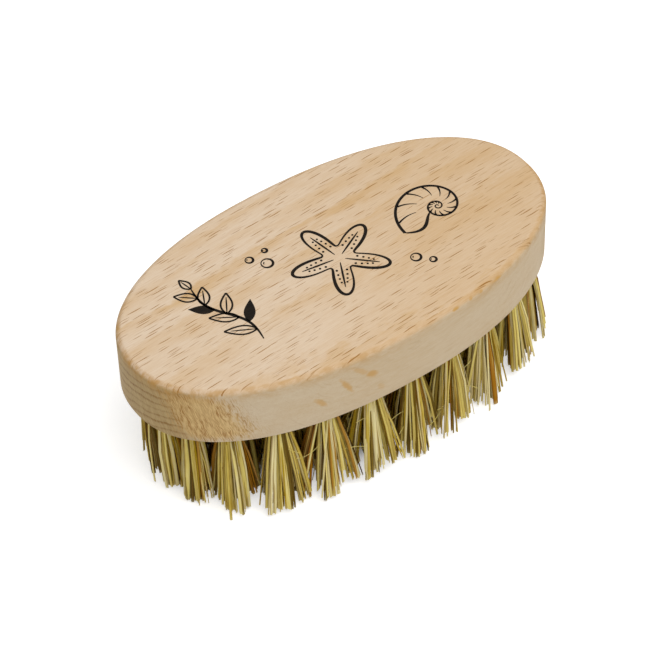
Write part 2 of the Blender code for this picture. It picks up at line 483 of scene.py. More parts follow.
def log_place(tree):
    """Millimetres along the grain, round the rings and out from the pith."""
    place = add_node(tree, "TexCoord").outputs["Object"]
    along_grain = add_node(tree, "Mapping", {"Vector": place, "Rotation": (0, 0, -GRAIN_TURN)}).outputs[0]
    inputs = {"Vector": along_grain, "Location": (0, 0, PITH_DEPTH_MM), "Rotation": (RING_TILT, 0, 0),
              "Scale": (1 / MM, 1 / MM, 1 / MM)}
    return add_node(tree, "Mapping", inputs).outputs[0]


def growth_rings(tree, log):
    """The way through each year's ring as a broad peak, and its dark last part as a line."""
    across = add_node(tree, "VectorMath", {0: log, 1: (0, 1, 1)}, operation="MULTIPLY").outputs[0]
    radius = add_node(tree, "VectorMath", {0: across}, operation="LENGTH").outputs["Value"]
    wander = calculate(tree, "MULTIPLY", calculate(tree, "SUBTRACT", grain(tree, log, 60.0, 14.0, 0.5), 0.5), 2.0)
    ripple = calculate(tree, "MULTIPLY", grain(tree, log, 5.0, 2.6, 0.5), 0.8)
    place = calculate(tree, "ADD", radius, calculate(tree, "ADD", wander, ripple))
    years = calculate(tree, "DIVIDE", place, RING_SPACING_MM)
    phase = calculate(tree, "FRACT", years)
    fall = soft_mask(tree, phase, 0.86, 1.0, 1.0, 0.0)
    year = calculate(tree, "FLOOR", years)
    luck = add_node(tree, "TexWhiteNoise", {"W": year}, noise_dimensions="1D").outputs["Value"]
    strength = calculate(tree, "ADD", 0.45, calculate(tree, "MULTIPLY", luck, 0.55))
    ending = calculate(tree, "MULTIPLY", fall, strength)
    return [calculate(tree, "MULTIPLY", soft_mask(tree, phase, start, 0.84), ending) for start in (0.20, 0.48)]


def rays(tree, log):
    """Cells far longer than wide; about a cell's middle lies a ray, narrower than its cell."""
    bend = calculate(tree, "MULTIPLY", grain(tree, log, 18.0, 5.0, 0.5), 0.8)
    shifted = add_node(tree, "VectorMath", {0: log, 1: add_node(tree, "CombineXYZ", {1: bend}).outputs[0]},
                       operation="ADD").outputs[0]
    cells = add_node(tree, "VectorMath", {0: shifted, 1: RAY_SPACING_MM}, operation="DIVIDE").outputs[0]
    found = add_node(tree, "TexVoronoi", {"Vector": cells, "Scale": 1.0, "Randomness": 1.0})
    off_middle = {0: cells, 1: found.outputs["Position"]}
    from_middle = add_node(tree, "VectorMath", off_middle, operation="SUBTRACT").outputs[0]
    narrowed = add_node(tree, "VectorMath", {0: from_middle, 1: RAY_NARROWING}, operation="MULTIPLY").outputs[0]
    distance = add_node(tree, "VectorMath", {0: narrowed}, operation="LENGTH").outputs["Value"]
    luck = add_node(tree, "SeparateColor", {0: found.outputs["Color"]})
    reach = calculate(tree, "ADD", 0.15, calculate(tree, "MULTIPLY", luck.outputs[0], 0.18))
    inside = soft_mask(tree, calculate(tree, "DIVIDE", distance, reach), 0.66, 1.0, 1.0, 0.0)
    darkness = soft_mask(tree, luck.outputs[1], 0.0, 0.9, 0.25, 1.0)
    return calculate(tree, "MULTIPLY", inside, darkness)


def near_stains(tree, log):
    """Soft ovals on the near side: the place less an oval's middle, turned, over its half sizes."""
    place = add_node(tree, "TexCoord").outputs["Object"]
    uneven = calculate(tree, "MULTIPLY", grain(tree, log, 1.6, 1.0, 0.5), 0.7)
    share = 0.0
    for x, depth, length, width, downhill, strength in NEAR_STAINS:
        y = -half_width * (1 - abs(x * MM / half_length) ** OUTLINE_POWER) ** (1 / OUTLINE_POWER)
        half_sizes = (length / 2 * MM, STAIN_DEPTH_MM * MM, width / 2 * MM)
        inputs = {"Vector": place, "Location": (x * MM, y, top - depth * MM),
                  "Rotation": (0, math.radians(downhill), 0), "Scale": half_sizes}
        oval = add_node(tree, "Mapping", inputs, vector_type="TEXTURE").outputs[0]
        distance = add_node(tree, "VectorMath", {0: oval}, operation="LENGTH").outputs["Value"]
        mark = soft_mask(tree, calculate(tree, "ADD", distance, uneven), 0.65, 1.45, strength, 0.0)
        share = calculate(tree, "MAXIMUM", share, mark)
    return share


print("ring band on top in mm:", round(RING_SPACING_MM / math.sin(RING_TILT), 1))

# %% Colour the beech
def stored(tree, name):
    """A value that was stored on the mesh."""
    return add_node(tree, "Attribute", attribute_name=name).outputs["Fac"]


def finish_beech(tree, shader):
    """Pale wood, then rings, the ends, the figure beside them, the rim, stains and rays."""
    log = log_place(tree)
    late, dark_line = growth_rings(tree, log)
    dashes = rays(tree, log)
    pores = grain(tree, log, 2.2, 0.16)
    streaks = grain(tree, log, 7.0, 0.38, 0.25)
    threads = grain(tree, log, 9.0, 0.17, 0.2)
    cloud = grain(tree, log, 26.0, 7.0, 0.3)
    mottle = grain(tree, log, 4.0, 1.3, 0.3)
    faces_end = stored(tree, "end_grain")
    is_side = soft_mask(tree, stored(tree, "up"), 0.15, 0.75, 1.0, 0.0)
    is_top = calculate(tree, "SUBTRACT", 1.0, is_side)
    is_end = calculate(tree, "MULTIPLY", soft_mask(tree, faces_end, 0.55, 0.85), is_side)
    sway = calculate(tree, "MULTIPLY", grain(tree, log, 3.4, 2.4, 0.5), 0.55)
    in_log = add_node(tree, "SeparateXYZ", {0: log}).outputs
    across_rings = add_node(tree, "CombineXYZ", {0: in_log["Z"], 1: calculate(tree, "ADD", in_log["X"], sway),
                                                 2: in_log["Y"]}).outputs[0]
    in_block = add_node(tree, "SeparateXYZ", {0: add_node(tree, "TexCoord").outputs["Object"]}).outputs
    in_block_mm = [calculate(tree, "DIVIDE", in_block[axis], MM) for axis in "ZXY"]
    leaning = calculate(tree, "ADD", sway, calculate(tree, "MULTIPLY", in_block_mm[0], FIGURE_LEAN))
    upright = add_node(tree, "CombineXYZ", {0: in_block_mm[0],
                                            1: calculate(tree, "ADD", in_block_mm[1], leaning),
                                            2: calculate(tree, "SUBTRACT", in_block_mm[2], leaning)}).outputs[0]

    banding = calculate(tree, "MULTIPLY", late, soft_mask(tree, cloud, 0.0, 1.0, 0.35, 1.0))
    gold_share = calculate(tree, "MULTIPLY", banding, soft_mask(tree, is_top, 0.0, 1.0, 0.12, 0.85))
    colour = tint(tree, calculate(tree, "MULTIPLY", cloud, 0.22), PALE, GOLDEN)
    to_near_right = calculate(tree, "SUBTRACT", in_block_mm[1], calculate(tree, "MULTIPLY", in_block_mm[2], 0.6))
    warmer = calculate(tree, "MULTIPLY", soft_mask(tree, to_near_right, -20.0, 35.0, 0.0, 0.40),
                       soft_mask(tree, is_top, 0.0, 1.0, 0.3, 1.0))
    colour = tint(tree, warmer, colour, GOLDEN)
    colour = tint(tree, gold_share, colour, GOLDEN)
    colour = tint(tree, calculate(tree, "MULTIPLY", pores, 0.22), colour, GOLDEN)
    for lines, on_side, on_top in ((streaks, 0.10, 0.09), (threads, 0.10, 0.22)):
        share = calculate(tree, "MULTIPLY", soft_mask(tree, lines, 0.35, 1.0),
                          soft_mask(tree, is_top, 0.0, 1.0, on_side, on_top))
        colour = tint(tree, share, colour, GRAIN_LINE)
    side_share = calculate(tree, "MULTIPLY", mottle, calculate(tree, "MULTIPLY", is_side, 0.18))
    colour = tint(tree, side_share, colour, SIDE_GOLD)
    # Painted shade: the sides are multiplied a little darker than the top.
    colour = tint(tree, is_side, colour, SIDE_PAINTED_SHADE, "MULTIPLY")

    fine_rays = grain(tree, across_rings, 4.5, 0.34, 0.16)
    broken_line = calculate(tree, "MULTIPLY", dark_line, soft_mask(tree, fine_rays, 0.0, 1.0, 0.45, 1.0))
    end_colour = tint(tree, broken_line, END_WOOD, END_LINE)
    end_colour = tint(tree, calculate(tree, "MULTIPLY", fine_rays, 0.34), end_colour, END_LINE)
    colour = tint(tree, is_end, colour, end_colour)

    flecks = grain(tree, upright, 2.4, 0.27, 0.12)
    deeper = soft_mask(tree, grain(tree, upright, 7.0, 1.6, 0.2), 0.0, 1.0, 0.45, 1.0)
    figure = tint(tree, calculate(tree, "MULTIPLY", flecks, deeper), FIGURE_PALE, FIGURE_DARK)
    ragged = calculate(tree, "ADD", stored(tree, "torn"), calculate(tree, "MULTIPLY", flecks, 0.45))
    torn = calculate(tree, "MULTIPLY", soft_mask(tree, ragged, 0.40, 0.95), is_side)
    colour = tint(tree, calculate(tree, "MULTIPLY", torn, 0.9), colour, figure)

    blots = grain(tree, log, 3.6, 1.6, 0.22)
    golden_share = calculate(tree, "MULTIPLY", soft_mask(tree, cloud, 0.0, 1.0, 0.5, 1.0),
                             soft_mask(tree, blots, 0.0, 1.0, 0.25, 1.0))
    rim_share = calculate(tree, "MULTIPLY", golden_share, soft_mask(tree, faces_end, 0.2, 0.7, 0.6, 1.0))
    colour = tint(tree, calculate(tree, "MULTIPLY", stored(tree, "rim"), rim_share), colour, RIM_GOLD)
    slanted = add_node(tree, "Mapping", {"Vector": log, "Rotation": (0, STAIN_SLANT, 0)}).outputs[0]
    spots = soft_mask(tree, grain(tree, slanted, 8.0, 2.6, 0.5, 0.5), 0.72, 0.92)
    long_side = calculate(tree, "MULTIPLY", is_side, soft_mask(tree, faces_end, 0.3, 0.6, 0.75, 0.0))
    far_side = calculate(tree, "MULTIPLY", long_side, soft_mask(tree, in_block_mm[2], -5.0, 5.0))
    far_spots = calculate(tree, "MULTIPLY", spots, far_side)
    colour = tint(tree, calculate(tree, "MAXIMUM", far_spots, near_stains(tree, log)), colour, STAIN)

    dash_share = calculate(tree, "MULTIPLY", dashes, soft_mask(tree, is_side, 0.6, 1.0, 0.9, 0.10))
    colour = tint(tree, dash_share, colour, RAY_BROWN)
    tree.links.new(colour, shader.inputs["Base Color"])

    relief = calculate(tree, "SUBTRACT", calculate(tree, "MULTIPLY", pores, 0.35),
                       calculate(tree, "MULTIPLY", dash_share, 0.8))
    bump = add_node(tree, "Bump", {"Height": relief, "Strength": 0.35, "Distance": 0.06 * MM})
    tree.links.new(bump.outputs[0], shader.inputs["Normal"])
    tree.links.new(soft_mask(tree, pores, 0.0, 1.0, 0.54, 0.68), shader.inputs["Roughness"])


finish_beech(beech_tree, beech_shader)
print("beech has", len(beech_tree.nodes), "nodes")

# %% [markdown]
# ## The fibres
#
# A tuft is a bundle of split leaf fibre: stiff, nearly straight, between a quarter of a
# millimetre and over a millimetre wide, and flat rather than round. Each fibre is one
# strand that goes up into the hole, bends over the wire and comes down again, so it shows
# two ends. All fibres of a tuft are computed together. A fibre's path is thirteen points:
# tip, near the tip, halfway, the hole's mouth, half a turn over the wire, and the same
# back down. A flat five-sided section is carried along it.
#
# A fan opens below the hole because the fibres stand crowded in its mouth: where a fibre
# leaves the mouth decides where its tip ends up, and it bends outwards most just below the
# mouth, where the push is strongest. Fibres that grew side by side still cling
# together, so a tuft falls into clumps with a direction and a length of their own. A little
# luck in tip, bow, twist and length takes away the look of a machine.

# %% Where the tufts point
MOUTH_RADIUS = 2.15 * MM
FAN_RADIUS = 7.7 * MM
INNER_MINGLING = 2.4 * MM
LEAN = 1.2 * MM
LEFT_LEAN = -2.6 * MM
TIP_OVERHANG = 0.9 * MM


def fan_rooms():
    """How far a tuft's body of fibres spreads: the fan's radius, or less near a neighbour.

    There it ends one mouth's radius short of the neighbour's mouth. The inner rows have
    nothing that combs them apart, so their fans reach further. Single tips pass this line.
    """
    apart = np.linalg.norm(hole_places[:, None] - hole_places[None], axis=2)
    np.fill_diagonal(apart, np.inf)
    inner = np.array([not name.startswith("outer") for name in tuft_names])
    return np.minimum(FAN_RADIUS, apart.min(axis=1) - 2 * MOUTH_RADIUS) + inner * INNER_MINGLING


def outwards_at(places):
    """Unit directions away from the block's long axis, square to an ellipse of its size."""
    slope = places / np.array((half_length, half_width)) ** 2
    return slope / np.maximum(np.linalg.norm(slope, axis=1, keepdims=True), 1e-9)


def outward_lean():
    """How far the tips stand outside their hole: outwards, but inwards at the left end."""
    level = np.abs(hole_places / (half_length, half_width)) ** OUTLINE_POWER
    how_far_out = level.sum(axis=1, keepdims=True)
    left_end = smooth_step(-hole_places[:, :1], 0.55 * half_length, 0.9 * half_length)
    amount = (LEAN + (LEFT_LEAN - LEAN) * left_end) * how_far_out
    return outwards_at(hole_places) * amount


def trimmed_sides(tips):
    """Draw tips that stand too far outside the block's outline back to that line."""
    reach = np.array((half_length, half_width)) + TIP_OVERHANG
    level = (np.abs(tips / reach) ** OUTLINE_POWER).sum(axis=-1, keepdims=True)
    return tips / np.maximum(1.0, level) ** (1 / OUTLINE_POWER)


fan_room = fan_rooms()
lean = outward_lean()
print("fans spread", round(fan_room.min() / MM, 1), "to", round(fan_room.max() / MM, 1), "mm about their middle")

# %% Paths of the fibres
FIBRES_IN_TUFT = 58
CLUMPS_IN_TUFT = 12
CLUMP_HOLD = 0.3
WIRE_TOP = root_top - 1.2 * MM
WIRE_HALF_THICKNESS = 0.2 * MM
STRAY_SHARE = 0.13
STRAY_REACH = 3.4 * MM
GOLDEN_TURN = math.pi * (3 - math.sqrt(5))
LEG_SHARES = np.array((1.0, 0.86, 0.5, 0.0))
FAN_SHARES = LEG_SHARES ** 0.8
FOLD_TURN = np.radians((0, 45, 90, 135, 180))


def legs_at_mouth(luck):
    """Where both legs leave the hole: a sunflower pattern on each side of the wire."""
    count = np.arange(FIBRES_IN_TUFT)
    radius = MOUTH_RADIUS * np.sqrt((count + 0.5) / FIBRES_IN_TUFT)
    angle = count * GOLDEN_TURN
    x = radius * np.cos(angle)
    y = WIRE_HALF_THICKNESS + np.abs(radius * np.sin(angle)) * (1 - WIRE_HALF_THICKNESS / MOUTH_RADIUS)
    shift = luck.normal(0, 0.12 * MM, FIBRES_IN_TUFT)
    return np.stack((np.column_stack((x, y)), np.column_stack((x + shift, -y))))


print("fibres in a tuft:", FIBRES_IN_TUFT, "in", CLUMPS_IN_TUFT, "clumps")

# %% [markdown]
# The trim is a cut with a blade, so most ends lie near one plane. The blade took each tuft
# a little differently, some clumps slipped before the cut and some fibres were broken
# later, so lengths scatter upwards from that plane.

# %% Sections carried along the paths
FIBRE_SIDES = 5
SECTION_TURN = np.radians(np.arange(FIBRE_SIDES) * 72 - 18)
TRIM_TILT = 0.08
TRIM_RISE = 1.1 * MM


def trim_heights(luck, spread_out, clump):
    """Heights of the ends: a tilted plane for the tuft, a step for each clump, and luck."""
    plane = spread_out @ luck.normal(0, TRIM_TILT, 2)
    step = np.abs(luck.normal(0, 1.0 * MM, CLUMPS_IN_TUFT))[clump]
    slip = np.abs(luck.normal(0, 0.24 * MM, clump.shape))
    broken = (luck.random(clump.shape) < 0.06) * luck.uniform(1.5, 5.0, clump.shape) * MM
    return plane - plane.min() + luck.uniform(0, TRIM_RISE) + step + slip + broken


def fibre_paths(luck, place, room, tip_shift):
    """Centre lines of one tuft's fibres (fibre, point, xyz), and the clump of each leg."""
    mouth = legs_at_mouth(luck)
    clump_middles = luck.uniform(-1, 1, (CLUMPS_IN_TUFT, 2)) * MOUTH_RADIUS
    clump = np.linalg.norm(mouth[:, :, None] - clump_middles, axis=-1).argmin(axis=-1)
    spread = room / MOUTH_RADIUS * luck.uniform(0.92, 1.18, (2, FIBRES_IN_TUFT, 1))
    stray = (luck.random((2, FIBRES_IN_TUFT, 1)) < STRAY_SHARE) * luck.normal(0, STRAY_REACH, mouth.shape)
    together = luck.normal(0, 0.15 * room, (CLUMPS_IN_TUFT, 2))[clump]
    held = mouth + CLUMP_HOLD * (clump_middles[clump] - mouth)
    spread_out = held * spread + together + luck.normal(0, 0.32 * MM, mouth.shape) + stray * room / FAN_RADIUS
    tip = trimmed_sides(place + spread_out + tip_shift) - place
    tip_height = trim_heights(luck, spread_out, clump)
    bow = luck.normal(0, 0.25 * MM, mouth.shape)
    share = FAN_SHARES[None, None, :, None]
    across = mouth[:, :, None] * (1 - share) + tip[:, :, None] * share + 4 * share * (1 - share) * bow[:, :, None]
    height = underside + (tip_height[:, :, None] - underside) * LEG_SHARES
    legs = np.concatenate((across, height[..., None]), axis=-1)

    middle = mouth.mean(axis=0)
    depth = mouth[0, :, 1:2]
    fold_rise = 0.15 * MM + (root_top - WIRE_TOP - 0.35 * MM) * depth / MOUTH_RADIUS
    fold = np.empty((FIBRES_IN_TUFT, len(FOLD_TURN), 3))
    fold[..., 0] = middle[:, :1] + (mouth[0, :, :1] - middle[:, :1]) * np.cos(FOLD_TURN)
    fold[..., 1] = depth * np.cos(FOLD_TURN)
    fold[..., 2] = WIRE_TOP - 0.3 * MM + (fold_rise + 0.3 * MM) * np.sin(FOLD_TURN)
    path = np.concatenate((legs[0], fold, legs[1][:, ::-1]), axis=1)
    path[..., :2] += place
    return path, clump


def along_path(path):
    """Unit directions along each path."""
    direction = np.gradient(path, axis=1)
    return direction / np.linalg.norm(direction, axis=-1, keepdims=True)


def sweep(path, width, thickness, twist, cut):
    """Carry a flat section along each path.

    Its broad side starts along the wire, made square to the path, and twist turns it.
    The cut shifts the end rings along the path, more on one side than on the other.
    """
    direction = along_path(path)
    wire = np.array((1.0, 0.0, 0.0))
    broad = wire - direction * direction[..., :1]
    broad /= np.linalg.norm(broad, axis=-1, keepdims=True)
    thin = np.cross(direction, broad)
    turned_broad = np.cos(twist)[..., None] * broad + np.sin(twist)[..., None] * thin
    turned_thin = np.cos(twist)[..., None] * thin - np.sin(twist)[..., None] * broad
    side_broad = (width[..., None] / 2 * np.cos(SECTION_TURN))[..., None]
    side_thin = (thickness[..., None] / 2 * np.sin(SECTION_TURN))[..., None]
    points = path[:, :, None] + side_broad * turned_broad[:, :, None] + side_thin * turned_thin[:, :, None]
    slant = cut * width[:, (0, -1)] / 2
    points[:, (0, -1)] += (slant[..., None] * np.cos(SECTION_TURN))[..., None] * direction[:, (0, -1), None]
    points[..., 2] = np.maximum(points[..., 2], 0.0)
    return points


print("a fibre is", len(LEG_SHARES) * 2 + len(FOLD_TURN), "rings of", FIBRE_SIDES)

# %% [markdown]
# Widths follow a skewed law: many fine fibres and a few broad ones. Each leg of a fibre
# also gets its dye and painted shade, three numbers that the shader reads: how light it is,
# how rusty, and how dark. Legs on the outer rows and on each tuft's outer side are made
# lighter, and legs in the inner rows darker: a painted light and shade. A clump comes from
# one leaf, so rust takes whole clumps.

# %% Make every tuft
# How much lighter the legs on a tuft's outer side are: a painted light.
SIDE_PAINTED_LIGHT = 0.22


def fibre_widths(luck):
    """Width and thickness of each fibre at each ring; some taper to a point."""
    width = np.clip(luck.lognormal(math.log(0.68), 0.42, FIBRES_IN_TUFT), 0.26, 1.35) * MM
    thickness = np.minimum(width * luck.uniform(0.42, 0.7, FIBRES_IN_TUFT), 0.42 * MM)
    rings = np.ones((FIBRES_IN_TUFT, len(LEG_SHARES) * 2 + len(FOLD_TURN)))
    pointed = np.where(luck.random((FIBRES_IN_TUFT, 2)) < 0.08, luck.uniform(0.2, 0.6, (FIBRES_IN_TUFT, 2)), 1.0)
    rings[:, (0, -1)] = pointed
    rings[:, 4:9] = 0.7
    rings[:, (3, 9)] = 0.85
    return width[:, None] * rings, thickness[:, None] * rings


def fibre_dyes_and_shade(luck, clump, outer, outside):
    """Lightness, rust and darkness of each leg, from 0 to 1; inner rows are darker, a painted shade.

    Outside runs from -1 on the tuft's inner side to 1 on its outer side, where a painted light
    makes legs lighter. A fibre's darkness lowers its lightness.
    """
    # Painted light and shade: legs are lighter on the tuft's outer side and on the outer rows; in the inner rows
    # they are darker, less often bleached and more often near-black.
    clump_and_side_light = luck.normal(0, 0.16, CLUMPS_IN_TUFT)[clump] + (SIDE_PAINTED_LIGHT * outside if outer else 0.0)
    light = np.clip(luck.normal(0.46 if outer else 0.14, 0.33, clump.shape) + clump_and_side_light, 0, 1)
    bleached_and_lit = (luck.random(clump.shape) < (0.14 if outer else 0.04)) * luck.uniform(0.8, 1.0, clump.shape)
    rusty = (luck.random(CLUMPS_IN_TUFT) < 0.13)[clump]
    rust = (luck.random(clump.shape) < np.where(rusty, 0.88, 0.04)) * luck.uniform(0.85, 1.0, clump.shape)
    dark_and_shaded = (luck.random(clump.shape) < (0.11 if outer else 0.3)) * luck.uniform(0.5, 1.0, clump.shape)
    return np.stack((np.maximum(light, bleached_and_lit) * (1 - dark_and_shaded), rust, dark_and_shaded), axis=-1)


def make_tuft(number):
    """One tuft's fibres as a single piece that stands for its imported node."""
    luck = np.random.default_rng(1000 + number)
    path, clump = fibre_paths(luck, hole_places[number], fan_room[number], lean[number])
    width, thickness = fibre_widths(luck)
    rings = path.shape[1]
    end_twists = luck.uniform(-1.5, 1.5, (FIBRES_IN_TUFT, 2))
    growth = np.array((1, 0.95, 0.8, 0.5, 0, 0, 0, 0, 0, 0.5, 0.8, 0.95, 1))
    which_leg = np.arange(rings) > rings // 2
    twist = growth * np.where(which_leg, end_twists[:, 1:], end_twists[:, :1])
    cut = luck.normal(0, 0.5, (FIBRES_IN_TUFT, 2))
    points = sweep(path, width, thickness, twist, cut)
    piece = make_piece(tuft_names[number] + "_fibres", points, many_tubes(points), fibre, 50)

    tips = path[:, (0, -1), :2].transpose(1, 0, 2) - hole_places[number]
    outside = np.clip(tips @ outwards_at(hole_places[number:number + 1])[0] / fan_room[number], -1, 1)
    dyes_and_shade = fibre_dyes_and_shade(luck, clump, tuft_names[number].startswith("outer"), outside)
    dye_and_shade_at_ring = np.where(which_leg[:, None], dyes_and_shade[1][:, None], dyes_and_shade[0][:, None])
    shape = points.shape[:3]
    add_values(piece, "dye_and_shade", np.broadcast_to(dye_and_shade_at_ring[:, :, None], (*shape, 3)), "FLOAT_VECTOR")
    passed = np.cumsum(np.linalg.norm(np.diff(path, axis=1, prepend=path[:, :1]), axis=-1), axis=1) / MM
    strand = np.empty((*shape, 3))
    strand[..., 0] = passed[:, :, None]
    strand[..., 1] = np.cos(SECTION_TURN) * width[:, :, None] / MM
    strand[..., 2] = (number * FIBRES_IN_TUFT + np.arange(FIBRES_IN_TUFT))[:, None, None] * 3.7
    add_values(piece, "strand", strand, "FLOAT_VECTOR")
    add_values(piece, "across", np.broadcast_to(np.cos(SECTION_TURN), shape))
    at_end = np.zeros(shape)
    at_end[:, (0, -1)] = 1
    add_values(piece, "cut_end", at_end)
    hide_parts(tuft_names[number])
    return piece


fibre, fibre_tree, fibre_shader = new_material("plant_fibre", 0.55, 0.06)
tufts = [make_tuft(number) for number in range(len(tuft_names))]
print("fibre faces in all:", sum(len(piece.data.polygons) for piece in tufts))

# %% [markdown]
# Split leaf fibre is straw to olive, streaked along its length, and its fresh cut ends
# are paler. Rust and near-black fibres come from the leaf's edge; the near-black ones are
# partly a painted shade, with more of them in the inner rows. The streaks read the stored
# millimetres along and across each fibre, so they follow every bend.

# %% Colour the fibres
OLIVE = paint(194, 162, 20)
STRAW = paint(255, 240, 144)
BLEACHED = paint(255, 246, 190)
RUST = paint(182, 126, 20)
DARK_FIBRE = paint(80, 54, 4)
CUT_END = paint(232, 218, 158)
STREAK_SHADE = paint(188, 154, 66)
PAINTED_EDGE_SHADE = paint(168, 126, 34)


def finish_fibre(tree, shader):
    """Olive, straw and bleached by lightness, rust and dark by the dye and its painted shade, then streaks and
    edges.

    Each fibre's two long edges are darker than its middle: a painted shade of its rounded section.
    """
    dye_and_shade = add_node(tree, "SeparateXYZ", {0: add_node(tree, "Attribute", attribute_name="dye_and_shade").outputs["Vector"]})
    strand = add_node(tree, "Attribute", attribute_name="strand").outputs["Vector"]
    streaks = grain(tree, strand, 9.0, 0.16, 0.3)
    patches = grain(tree, strand, 7.0, 2.0, 0.35)
    light = calculate(tree, "ADD", calculate(tree, "MULTIPLY", dye_and_shade.outputs[0], 0.7),
                      calculate(tree, "MULTIPLY", patches, 0.3))
    colour = tint(tree, soft_mask(tree, light, 0.0, 0.75), OLIVE, STRAW)
    colour = tint(tree, soft_mask(tree, light, 0.62, 0.88), colour, BLEACHED)
    rust_share = calculate(tree, "MULTIPLY", dye_and_shade.outputs[1], soft_mask(tree, patches, 0.0, 0.7, 0.9, 1.0))
    colour = tint(tree, rust_share, colour, RUST)
    colour = tint(tree, dye_and_shade.outputs[2], colour, DARK_FIBRE)
    colour = tint(tree, calculate(tree, "MULTIPLY", streaks, 0.45), colour, STREAK_SHADE, "MULTIPLY")
    # Painted shade: each fibre's two long edges are darkened against its middle.
    painted_edge_shade = soft_mask(tree, calculate(tree, "ABSOLUTE", stored(tree, "across")), 0.45, 0.95, 0.0, 0.6)
    colour = tint(tree, painted_edge_shade, colour, PAINTED_EDGE_SHADE, "MULTIPLY")
    fresh = soft_mask(tree, stored(tree, "cut_end"), 0.6, 1.0, 0.0, 0.35)
    colour = tint(tree, fresh, colour, CUT_END)
    tree.links.new(colour, shader.inputs["Base Color"])
    bump = add_node(tree, "Bump", {"Height": streaks, "Strength": 0.5, "Distance": 0.05 * MM})
    tree.links.new(bump.outputs[0], shader.inputs["Normal"])
    tree.links.new(soft_mask(tree, streaks, 0.0, 1.0, 0.45, 0.65), shader.inputs["Roughness"])


finish_fibre(fibre_tree, fibre_shader)
print("fibre has", len(fibre_tree.nodes), "nodes")

# %% [markdown]
# A few hair-thin strands always work loose. Each starts inside a tuft, leaves it sideways
# and hangs in a shallow arc against the tufts beside it.

# %% Make the loose hairs
HAIRS = 26
HAIR_RADIUS = 0.07 * MM
HAIR_RINGS = 9


def hair_points():
    """Arcs: a straight run plus a bow across it, both in a slanting direction.

    They start from outer tufts that aren't at the ends, where nothing would hold them.
    """
    luck = np.random.default_rng(77)
    outer = np.array([number for number, name in enumerate(tuft_names) if name.startswith("outer")])
    chosen = luck.choice(outer[np.abs(hole_places[outer, 0]) < 0.62 * half_length], HAIRS)
    outwards = outwards_at(hole_places[chosen])
    sideways = np.column_stack((-outwards[:, 1], outwards[:, 0])) * luck.choice((-1, 1), (HAIRS, 1))
    share = np.linspace(0, 1, HAIR_RINGS)
    reach = luck.uniform(4, 12, (HAIRS, 1)) * MM
    bow = luck.uniform(-1.5, 2.5, (HAIRS, 1)) * MM * 4 * share * (1 - share)
    start_height = underside - luck.uniform(4, 17, (HAIRS, 1)) * MM
    drop = luck.uniform(-1, 8, (HAIRS, 1)) * MM
    side_run = reach * share
    out_run = 2.4 * MM + luck.uniform(0.2, 1.6, (HAIRS, 1)) * MM * share
    path = np.empty((HAIRS, HAIR_RINGS, 3))
    path[..., :2] = (hole_places[chosen] + lean[chosen] * 0.4)[:, None]
    path[..., :2] += side_run[..., None] * sideways[:, None] + out_run[..., None] * outwards[:, None]
    path[..., 2] = np.maximum(start_height - drop * share - bow, 1.0 * MM)
    return sweep(path, np.full(path.shape[:2], 2 * HAIR_RADIUS), np.full(path.shape[:2], 2 * HAIR_RADIUS),
                 np.zeros(path.shape[:2]), np.zeros((HAIRS, 2)))


hairs_at = hair_points()
hairs = make_piece("loose_hairs", hairs_at, many_tubes(hairs_at), fibre, 80)
add_values(hairs, "dye_and_shade", np.broadcast_to((0.75, 0.0, 0.0), hairs_at.shape), "FLOAT_VECTOR")
add_values(hairs, "strand", hairs_at / MM, "FLOAT_VECTOR")
for value_name in ("across", "cut_end"):
    add_values(hairs, value_name, np.zeros(hairs_at.shape[:3]))
print("loose hairs:", HAIRS)

# %% [markdown]
# ## Wire anchors
#
# A short piece of flat wire holds each tuft. It is punched in together with the folded
# bundle, and its two ends bite into the wood. It shows only where a block is cut open,
# but without it nothing would hold the fibres, so it is here. One rounded rectangle,
# carried along X, makes each.

# %% Make the wires
WIRE_HEIGHT = 2.2 * MM
WIRE_BITE = 0.6 * MM


def wire_points():
    """An eight-sided flat section at both ends of every wire."""
    corner = 0.08 * MM
    half_thick, half_high = WIRE_HALF_THICKNESS, WIRE_HEIGHT / 2
    y = np.array((half_thick, half_thick, half_thick - corner, corner - half_thick,
                  -half_thick, -half_thick, corner - half_thick, half_thick - corner))
    z = np.array((corner - half_high, half_high - corner, half_high, half_high,
                  half_high - corner, corner - half_high, -half_high, -half_high))
    x = np.array((-1, 1)) * (HOLE_RADIUS + WIRE_BITE)
    points = np.empty((len(hole_places), 2, 8, 3))
    points[..., 0] = hole_places[:, None, None, 0] + x[None, :, None]
    points[..., 1] = hole_places[:, None, None, 1] + y
    points[..., 2] = WIRE_TOP - WIRE_HEIGHT / 2 + z
    return points


wire, wire_tree, wire_shader = new_material("flat_wire", 0.35, 0.5)
wire_shader.inputs["Metallic"].default_value = 1.0
wire_place = add_node(wire_tree, "Mapping", {"Vector": add_node(wire_tree, "TexCoord").outputs["Object"],
                                             "Scale": (1 / MM, 1 / MM, 1 / MM)}).outputs[0]
drawn_lines = grain(wire_tree, wire_place, 3.0, 0.06)
wire_tree.links.new(tint(wire_tree, drawn_lines, paint(176, 178, 182), paint(214, 215, 218)),
                    wire_shader.inputs["Base Color"])
wires_at = wire_points()
wires = make_piece("wire_anchors", wires_at, many_tubes(wires_at), wire)
print("wires:", len(wires_at))

# %% [markdown]
# ## The ink on top
#
# The top carries a small line drawing, stamped in black ink. The ink lies on the wood as
# a film, so each pen stroke is a thin closed ribbon: its middle line is a formula, its
# half width swells and tapers as a pen's does, and a flat rectangle is carried along it.
# Three motifs stand side by side: a sprig of seaweed, a starfish and a sea snail, with a
# few bubbles between them. A dot is the same ribbon, only as long as it is wide, and a
# filled leaf is one wide ribbon. Long outlines get more rings than short strokes, so that
# their curves stay smooth.

